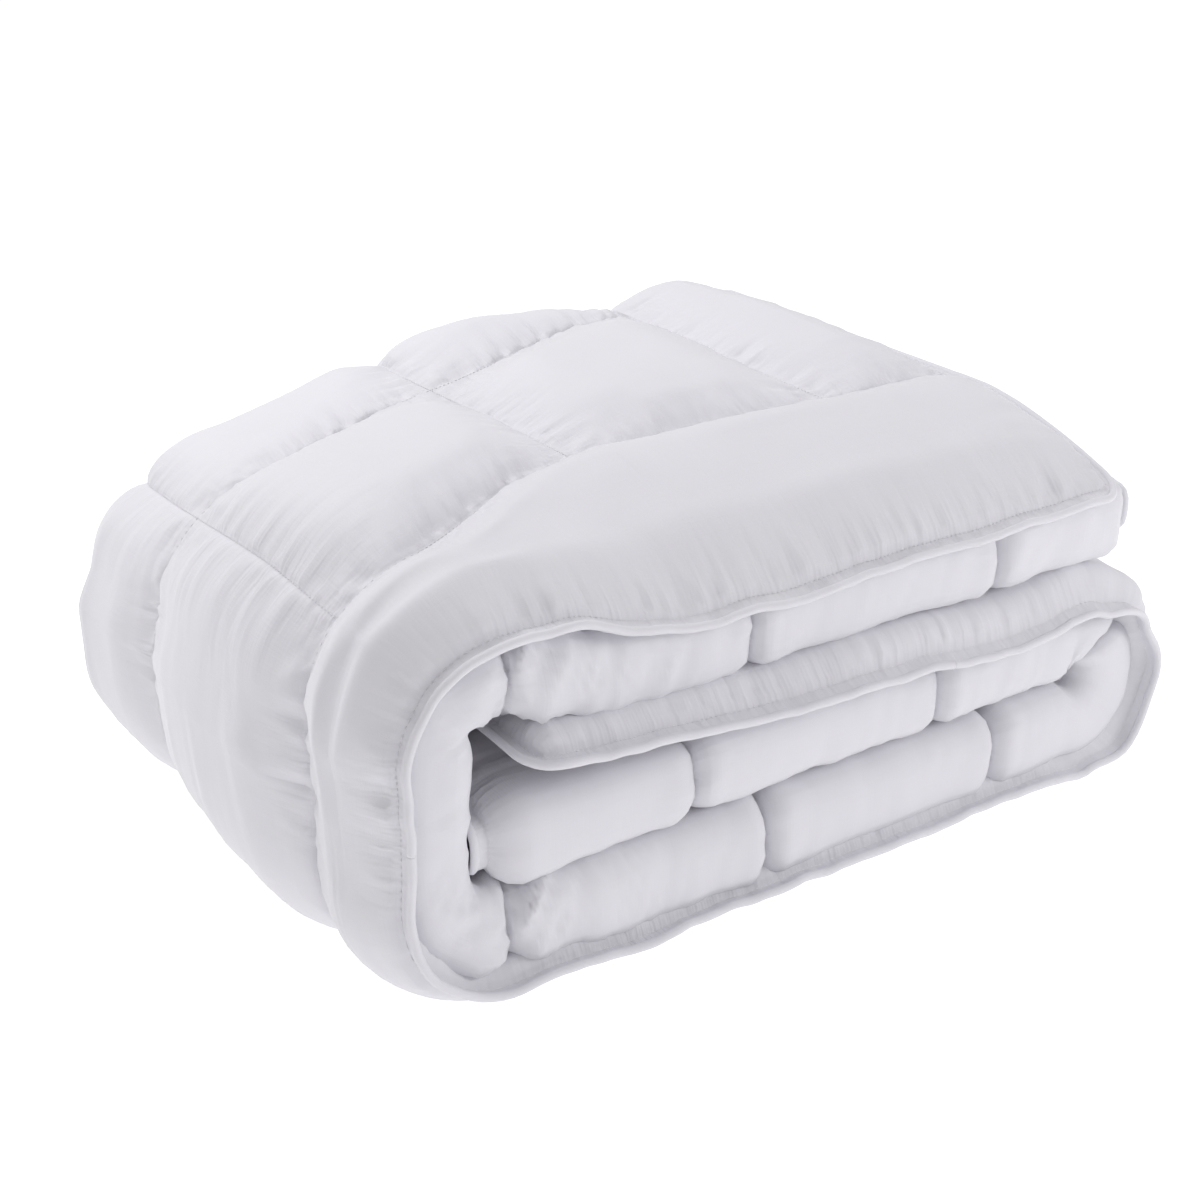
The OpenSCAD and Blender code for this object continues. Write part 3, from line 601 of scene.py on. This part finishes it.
def shell(name, first, last):
    """Closed quilted piece between two rings along the strip."""
    rows, cols = last - first + 1, len(V_RINGS)
    a, b = FACE[first:last + 1], BACK[first:last + 1]
    count = rows * cols
    verts = np.concatenate([a.reshape(-1, 3), b.reshape(-1, 3)])
    i = np.arange(rows - 1)[:, None] * cols + np.arange(cols - 1)[None, :]
    i = i.ravel()
    top = np.stack([i, i + cols, i + cols + 1, i + 1], 1)
    bottom = np.stack([i, i + 1, i + cols + 1, i + cols], 1) + count
    rim = np.concatenate([np.arange(cols), np.arange(1, rows) * cols + cols - 1,
                          (rows - 1) * cols + np.arange(cols - 2, -1, -1), np.arange(rows - 2, 0, -1) * cols])
    nxt = np.roll(rim, -1)
    side = np.stack([rim, nxt, nxt + count, rim + count], 1)
    faces = np.concatenate([top, bottom, side])
    mesh = bpy.data.meshes.new(name)
    mesh.vertices.add(len(verts))
    mesh.vertices.foreach_set("co", verts.ravel())
    mesh.loops.add(faces.size)
    mesh.loops.foreach_set("vertex_index", faces.ravel())
    mesh.polygons.add(len(faces))
    mesh.polygons.foreach_set("loop_start", np.arange(0, faces.size, 4))
    mesh.update(calc_edges=True)
    mesh.validate()
    uv = mesh.uv_layers.new(name="cloth")
    flat = np.stack([SV[1][first:last + 1], SV[0][first:last + 1]], -1).reshape(-1, 2)
    flat = np.concatenate([flat, flat + [0.003, 0.001]])
    uv.data.foreach_set("uv", flat[faces.ravel()].ravel())
    beside = {
        "near_length": np.minimum(length_d, np.abs(edge_d)),
        "near_cross": np.minimum(cross_d, np.abs(end_d)),
    }
    for key, d in beside.items():
        near = mesh.attributes.new(key, "FLOAT", "POINT")
        d = np.exp(-d[first:last + 1].ravel() / RIPPLE_REACH)
        near.data.foreach_set("value", np.concatenate([d, d]))
    mesh.polygons.foreach_set("use_smooth", np.ones(len(faces), bool))
    normals = np.concatenate([FACE_N[first:last + 1].reshape(-1, 3), BACK_N[first:last + 1].reshape(-1, 3)])
    mesh.normals_split_custom_set_from_vertices([tuple(n) for n in normals])
    obj = bpy.data.objects.new(name, mesh)
    bpy.context.collection.objects.link(obj)
    return obj


cut_wall = int(np.argmin(np.abs(S_RINGS - WALL_MIDDLE)))
cut_middle = int(np.argmin(np.abs(S_RINGS - SEAM_H)))
shell_upper = shell("shell_upper", 0, cut_wall)
shell_lower = shell("shell_lower", cut_wall, cut_middle)
shell_middle = shell("shell_middle", cut_middle, len(S_RINGS) - 1)

# ------------------------------------------------------------------------------------ materials
def fabric(name, base, weave, fold_tint=0.02):
    """White woven cloth: fine threads along the strip, a little slub, a faint sheen, and painted shade beside
    the sewn lines.
    """
    mat = bpy.data.materials.new(name)
    mat.use_nodes = True
    nt = mat.node_tree
    nodes, links = nt.nodes, nt.links
    bsdf = nodes["Principled BSDF"]
    bsdf.inputs["Roughness"].default_value = 0.62
    bsdf.inputs["Specular IOR Level"].default_value = 0.35
    bsdf.inputs["Sheen Weight"].default_value = 0.25
    bsdf.inputs["Sheen Roughness"].default_value = 0.35
    uv = nodes.new("ShaderNodeUVMap")
    uv.uv_map = "cloth"

    def mapping(scale_u, scale_v):
        m = nodes.new("ShaderNodeMapping")
        m.inputs["Scale"].default_value = (scale_u, scale_v, 1)
        links.new(uv.outputs["UV"], m.inputs["Vector"])
        return m

    def noise_node(scale_u, scale_v, detail, rough):
        n = nodes.new("ShaderNodeTexNoise")
        n.inputs["Scale"].default_value = 1
        n.inputs["Detail"].default_value = detail
        n.inputs["Roughness"].default_value = rough
        links.new(mapping(scale_u, scale_v).outputs["Vector"], n.inputs["Vector"])
        return n

    warp = noise_node(weave, weave * 0.035, 3, 0.6)
    weft = noise_node(weave * 0.035, weave, 2, 0.5)
    cloud = noise_node(9, 9, 3, 0.5)
    fibre = nodes.new("ShaderNodeMath")
    fibre.operation = "ADD"
    links.new(warp.outputs["Fac"], fibre.inputs[0])
    scaled = nodes.new("ShaderNodeMath")
    scaled.operation = "MULTIPLY"
    scaled.inputs[1].default_value = 0.8
    links.new(weft.outputs["Fac"], scaled.inputs[0])
    links.new(scaled.outputs[0], fibre.inputs[1])
    bump = nodes.new("ShaderNodeBump")
    bump.inputs["Strength"].default_value = 0.30
    bump.inputs["Distance"].default_value = 0.0006
    links.new(fibre.outputs[0], bump.inputs["Height"])
    # Fine puckers beside the sewn lines, square to them
    ripple = None
    for key, scale in (("near_length", (16, 95)), ("near_cross", (95, 16))):
        near = nodes.new("ShaderNodeAttribute")
        near.attribute_name = key
        part = nodes.new("ShaderNodeMath")
        part.operation = "MULTIPLY"
        links.new(near.outputs["Fac"], part.inputs[0])
        links.new(noise_node(*scale, 2, 0.55).outputs["Fac"], part.inputs[1])
        if ripple is not None:
            both = nodes.new("ShaderNodeMath")
            both.operation = "ADD"
            links.new(ripple.outputs[0], both.inputs[0])
            links.new(part.outputs[0], both.inputs[1])
            part = both
        ripple = part
    pucker = nodes.new("ShaderNodeBump")
    pucker.inputs["Strength"].default_value = 0.75
    pucker.inputs["Distance"].default_value = 0.0045
    links.new(ripple.outputs[0], pucker.inputs["Height"])
    links.new(pucker.outputs["Normal"], bump.inputs["Normal"])
    links.new(bump.outputs["Normal"], bsdf.inputs["Normal"])
    ramp = nodes.new("ShaderNodeValToRGB")
    ramp.color_ramp.elements[0].position = 0.35
    ramp.color_ramp.elements[0].color = (*[c * (1 - fold_tint) for c in base], 1)
    ramp.color_ramp.elements[1].position = 0.95
    ramp.color_ramp.elements[1].color = (*base, 1)
    # Painted shade: the base colour is darkened a little beside the sewn lines, where the fine puckers lie. It
    # stands in for the valleys between the puckers getting less light from the cloth around them.
    painted_shade_factor = nodes.new("ShaderNodeMapRange")
    painted_shade_factor.inputs["From Min"].default_value = 0.10
    painted_shade_factor.inputs["From Max"].default_value = 0.55
    painted_shade_factor.inputs["To Min"].default_value = 1.0
    painted_shade_factor.inputs["To Max"].default_value = 0.97
    links.new(ripple.outputs[0], painted_shade_factor.inputs["Value"])
    # Base colour scaled down by the painted shade
    painted_shade_colour = nodes.new("ShaderNodeVectorMath")
    painted_shade_colour.operation = "SCALE"
    links.new(painted_shade_factor.outputs["Result"], painted_shade_colour.inputs["Scale"])
    mixer = nodes.new("ShaderNodeMath")
    mixer.operation = "MULTIPLY_ADD"
    mixer.inputs[1].default_value = 0.55
    links.new(warp.outputs["Fac"], mixer.inputs[0])
    links.new(cloud.outputs["Fac"], mixer.inputs[2])
    links.new(mixer.outputs[0], ramp.inputs["Fac"])
    links.new(ramp.outputs["Color"], painted_shade_colour.inputs[0])
    links.new(painted_shade_colour.outputs["Vector"], bsdf.inputs["Base Color"])
    return mat


CLOTH_WHITE = (0.745, 0.735, 0.780)
cloth_mat = fabric("duvet_cloth", CLOTH_WHITE, 900)
piping_mat = fabric("piping_cloth", CLOTH_WHITE, 900)
cord_mat = fabric("cord_fibre", (0.84, 0.84, 0.85), 600)
thread_mat = fabric("white_thread", (0.80, 0.80, 0.83), 2200)


def give(obj, mat):
    obj.data.materials.clear()
    obj.data.materials.append(mat)


# ------------------------------------------------------------------------------------ piping
def outline(low, high, inset, closed_end):
    """Points (s, v) along the edges of a stretch, from its front edge round its free end to its tucked edge."""
    def side(v):
        return [(s, v) for s in S_RINGS if low + 1e-9 < s < high - 1e-9]
    front, tucked = side(inset), side(FLAT_WIDTH - inset)
    if closed_end is None:
        return [[(low, inset)] + front + [(high, inset)],
                [(low, FLAT_WIDTH - inset)] + tucked + [(high, FLAT_WIDTH - inset)]]
    sign = 1 if closed_end < (low + high) / 2 else -1
    stop = closed_end
    corner = [inset + d for d in np.linspace(0, CORNER_ROUND, 7)[:-1]]
    lead = [(stop + sign * (d - inset), inset) for d in corner[:0:-1]]
    front = [p for p in front if abs(p[0] - stop) > CORNER_ROUND]
    tucked = [p for p in tucked if abs(p[0] - stop) > CORNER_ROUND]
    end = [(stop, d) for d in corner]
    end += [(stop, v) for v in V_RINGS if inset + CORNER_ROUND < v < FLAT_WIDTH - inset - CORNER_ROUND]
    end += [(stop, FLAT_WIDTH - d) for d in corner[::-1]]
    trail = [(s, FLAT_WIDTH - v) for s, v in lead[::-1]]
    if sign > 0:
        path = [(high, inset)] + front[::-1] + lead + end + trail + tucked + [(high, FLAT_WIDTH - inset)]
    else:
        path = [(low, inset)] + front + lead + end + trail + tucked[::-1] + [(low, FLAT_WIDTH - inset)]
    return [path]


def tube(name, paths, radius, sides, mat, ripple=0.0, height=0.0):
    """Round tube along paths on the duvet, with closed ends."""
    bm = bmesh.new()
    uv = bm.loops.layers.uv.new("cloth")
    for path in paths:
        sv = np.array(path)
        p = place(sv[:, 0], sv[:, 1], height)
        up = place(sv[:, 0], sv[:, 1], height + 0.004) - p
        t = np.gradient(p, axis=0)
        t /= np.linalg.norm(t, axis=1, keepdims=True)
        up -= t * np.sum(up * t, 1, keepdims=True)
        up /= np.linalg.norm(up, axis=1, keepdims=True)
        side = np.cross(t, up)
        length = np.concatenate([[0], np.cumsum(np.linalg.norm(np.diff(p, axis=0), axis=1))])
        rows = []
        for i in range(len(p)):
            ring = []
            for k in range(sides):
                a = 2 * math.pi * k / sides
                r = radius * (1 + ripple * noise(np.array(length[i] / 0.011), np.array(k * 0.4), 9))
                ring.append(bm.verts.new(p[i] + r * (math.cos(a) * side[i] + math.sin(a) * up[i])))
            rows.append(ring)
        for i in range(len(p) - 1):
            for k in range(sides):
                n = (k + 1) % sides
                f = bm.faces.new([rows[i][k], rows[i][n], rows[i + 1][n], rows[i + 1][k]])
                f.smooth = True
                for loop, (li, kk) in zip(f.loops, [(i, k), (i, k + 1), (i + 1, k + 1), (i + 1, k)]):
                    loop[uv].uv = (kk / sides * 2 * math.pi * radius, length[li])
        bm.faces.new(rows[0][::-1])
        bm.faces.new(rows[-1])
    bmesh.ops.recalc_face_normals(bm, faces=bm.faces)
    mesh = bpy.data.meshes.new(name)
    bm.to_mesh(mesh)
    bm.free()
    obj = bpy.data.objects.new(name, mesh)
    bpy.context.collection.objects.link(obj)
    give(obj, mat)
    return obj


# Each part's stretch of the strip, and where its free end lies
PARTS = {
    "upper": (0.0, WALL_MIDDLE, 0.0),
    "lower": (WALL_MIDDLE, SEAM_H, None),
    "middle": (SEAM_H, STRIP_END, STRIP_END),
}
CORD_RADIUS = 0.0022
shells = {"upper": shell_upper, "lower": shell_lower, "middle": shell_middle}
pieces = {}
for part, (low, high, end) in PARTS.items():
    give(shells[part], cloth_mat)
    pieces["shell", part] = shells[part]
    path = outline(low, high, 0.0, end)
    pieces["piping", part] = tube(f"piping_{part}", path, PIPING_RADIUS, 12, piping_mat, 0.05)
    pieces["cord", part] = tube(f"piping_cord_{part}", path, CORD_RADIUS, 6, cord_mat)


# ------------------------------------------------------------------------------------ stitches
def stitch_line(sv, pitch=0.0042, length=0.0029):
    """Start and end (s, v) of every stitch along a line."""
    sv = np.array(sv)
    d = np.concatenate([[0], np.cumsum(np.linalg.norm(np.diff(sv, axis=0), axis=1))])
    starts = np.arange(pitch * 0.3, d[-1] - length, pitch)
    out = []
    for a in starts:
        places = (a, a + length / 2, a + length)
        out.append([[np.interp(x, d, sv[:, 0]), np.interp(x, d, sv[:, 1])] for x in places])
    return out


def stitches(name, lines, radius=0.00032):
    """Small stitches on both sides of the duvet."""
    sv = np.array([st for line in lines for st in stitch_line(line)])
    verts, faces = [], []
    count = 0
    for sign in (1, -1):
        h = np.array([0.0008, 0.00155, 0.0008]) * sign
        p = place(sv[..., 0], sv[..., 1], h[None, :])
        up = place(sv[..., 0], sv[..., 1], h[None, :] + 0.003) - p
        up /= np.linalg.norm(up, axis=-1, keepdims=True)
        t = (p[:, 2] - p[:, 0])[:, None, :]
        t = t / np.linalg.norm(t, axis=-1, keepdims=True)
        side = np.cross(np.broadcast_to(t, up.shape), up)
        ring = []
        thickness = radius * np.array([0.7, 1, 0.7])[None, :, None]
        for k in range(4):
            a = math.pi / 2 * k + math.pi / 4
            ring.append(p + thickness * (math.cos(a) * side + math.sin(a) * up))
        v = np.stack(ring, 2).reshape(-1, 3)
        verts.append(v)
        n = len(sv)
        base = count + np.arange(n)[:, None] * 12
        f = []
        for r in range(2):
            for k in range(4):
                k2 = (k + 1) % 4
                f.append(base + np.array([r * 4 + k, r * 4 + k2, r * 4 + 4 + k2, r * 4 + 4 + k]))
        f.append(base + np.array([3, 2, 1, 0]))
        f.append(base + np.array([8, 9, 10, 11]))
        faces.append(np.concatenate(f))
        count += len(v)
    verts, faces = np.concatenate(verts), np.concatenate(faces)
    mesh = bpy.data.meshes.new(name)
    mesh.from_pydata(verts.tolist(), [], faces.tolist())
    uv = mesh.uv_layers.new(name="cloth")
    co = verts[faces.ravel()]
    uv.data.foreach_set("uv", np.stack([co[:, 0] + co[:, 1], co[:, 2]], 1).ravel())
    mesh.polygons.foreach_set("use_smooth", np.ones(len(faces), bool))
    obj = bpy.data.objects.new(name, mesh)
    bpy.context.collection.objects.link(obj)
    give(obj, thread_mat)
    return obj


for part, (low, high, end) in PARTS.items():
    lines = []
    for k, v in enumerate(LONG_SEAMS):
        inner = k in (1, 2, 3)
        a = max(low, SEAM_C if inner else TOPSTITCH_INSET)
        b = min(high, SEAM_I if inner else STRIP_END - TOPSTITCH_INSET)
        lines.append([(a, v), (b, v)])
    pieces["long", part] = stitches(f"long_stitches_{part}", lines)
    lines = [[(s, LONG_SEAMS[0] + 0.001), (s, LONG_SEAMS[4] - 0.001)] for s in CROSS_SEAMS
             if low - 1e-6 <= s < high - 1e-6]
    pieces["cross", part] = stitches(f"cross_stitches_{part}", lines)
    inner_end = end if end is None else min(max(end, TOPSTITCH_INSET), STRIP_END - TOPSTITCH_INSET)
    pieces["top", part] = stitches(f"topstitches_{part}", outline(low, high, TOPSTITCH_INSET, inner_end))


ROWS = ("border", "outer", "back", "inner", "front", "tucked")


def fills(*levels):
    return [f"fill_{level}_{row}" for level in levels for row in ROWS]


NODES_OF = {
    ("shell", "upper"): ["face_panel_flap", "back_panel_flap", "face_panel_wall", "back_panel_wall"]
    + fills("top", "wall") + ["fill_top_end"],
    ("shell", "lower"): ["face_panel_base", "back_panel_base"] + fills("bottom", "turn"),
    ("shell", "middle"): fills("middle") + ["fill_middle_end"],
    ("piping", "upper"): ["piping_cover_flap", "piping_cover_wall"],
    ("piping", "lower"): ["piping_cover_base"],
    ("cord", "upper"): ["piping_cord_flap", "piping_cord_wall"],
    ("cord", "lower"): ["piping_cord_base"],
    ("long", "upper"): ["long_stitch_flap", "long_stitch_wall"],
    ("long", "lower"): ["long_stitch_base"],
    ("cross", "upper"): ["cross_stitch_flap", "cross_stitch_wall"],
    ("cross", "lower"): ["cross_stitch_base"],
    ("top", "upper"): ["topstitch_flap", "topstitch_wall"],
    ("top", "lower"): ["topstitch_base"],
}
for (kind, part), piece in pieces.items():
    if part == "upper":
        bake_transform(piece)
    elif part == "lower":
        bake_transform(piece)
    else:
        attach(piece, "base")
    if (kind, part) in NODES_OF:
        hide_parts(*NODES_OF[kind, part])

# ------------------------------------------------------------------------------------ stage, camera and light
bpy.ops.mesh.primitive_plane_add(size=80, location=(0, 0, -0.0008))
floor = bpy.context.object
floor.name = "floor"
floor_mat = bpy.data.materials.new("pale_floor")
floor_mat.use_nodes = True
fb = floor_mat.node_tree.nodes["Principled BSDF"]
fb.inputs["Base Color"].default_value = (0.45, 0.45, 0.45, 1)
fb.inputs["Roughness"].default_value = 0.9
fb.inputs["Specular IOR Level"].default_value = 0.0
fb.inputs["Emission Color"].default_value = (1, 1, 1, 1)
fb.inputs["Emission Strength"].default_value = 0.78
give(floor, floor_mat)

world = bpy.data.worlds.new("studio")
bpy.context.scene.world = world
world.use_nodes = True
wn, wl = world.node_tree.nodes, world.node_tree.links
place_in_sky = wn.new("ShaderNodeTexCoord")
height = wn.new("ShaderNodeSeparateXYZ")
sky = wn.new("ShaderNodeMapRange")
sky.inputs["From Min"].default_value = 0.0
sky.inputs["From Max"].default_value = 0.9
sky.inputs["To Min"].default_value = 0.27
sky.inputs["To Max"].default_value = 0.74
wl.new(place_in_sky.outputs["Generated"], height.inputs[0])
wl.new(height.outputs["Z"], sky.inputs["Value"])
wl.new(sky.outputs["Result"], wn["Background"].inputs["Strength"])
wn["Background"].inputs["Color"].default_value = (1.0, 1.0, 1.0, 1)


def area(name, location, target, size, power):
    """Round soft light, aimed at a point."""
    data = bpy.data.lights.new(name, "AREA")
    data.shape = "DISK"
    data.size = size
    data.energy = power
    lamp = bpy.data.objects.new(name, data)
    lamp.location = location
    lamp.rotation_euler = (Vector(target) - Vector(location)).to_track_quat("-Z", "Y").to_euler()
    bpy.context.collection.objects.link(lamp)


area("key", (-0.5, 1.4, 1.9), (0, 0, 0.2), 1.2, 27)
area("front_fill", (1.5, -1.7, 1.0), (0.1, -0.1, 0.15), 0.9, 13)

camera_data = bpy.data.cameras.new("camera")
camera_data.lens = 51
camera_data.sensor_width = 36
camera = bpy.data.objects.new("camera", camera_data)
camera.location = (-0.741, -1.104, 0.776)
camera.rotation_euler = (math.radians(64.5), 0, math.radians(-33.5))
bpy.context.collection.objects.link(camera)
bpy.context.scene.camera = camera
bpy.context.scene.view_settings.view_transform = "Standard"
